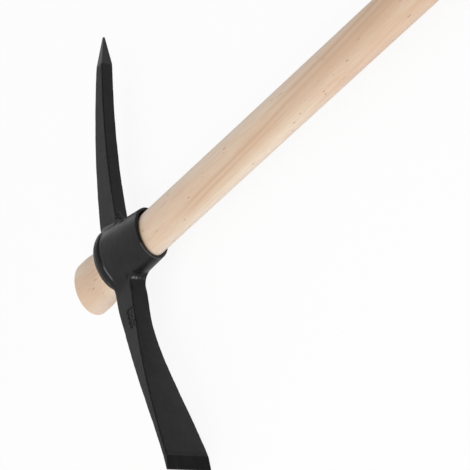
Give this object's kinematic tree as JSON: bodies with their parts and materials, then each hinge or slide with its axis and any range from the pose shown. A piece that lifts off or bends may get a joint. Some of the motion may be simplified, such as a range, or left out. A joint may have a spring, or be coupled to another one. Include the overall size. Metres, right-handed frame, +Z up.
{
  "type": "pick axe",
  "caption": "Pick axe for breaking ground: a black lacquered forged head with a point opposite a narrow flared blade, slipped over a tapered oval beech handle with a flared poll.",
  "frame": {"origin": "on the floor, under the middle of the whole tool's box, with the tool lying on its side", "axes": "+X along the handle towards the grip, +Y along the head towards the point, +Z up"},
  "size_m": [0.9, 0.482, 0.051],
  "materials": {
    "beech": "planed and sanded, unvarnished",
    "lacquered_steel": "satin black lacquer over a forged surface"
  },
  "bodies": {
    "handle": {"handle": "beech"},
    "head": {"pick_head": "lacquered_steel"}
  },
  "joints": [
    {"name": "head_slide", "type": "slide", "parent": "handle", "child": "head", "axis": [1, 0, 0], "range_m": [0, 0.86]}
  ]
}
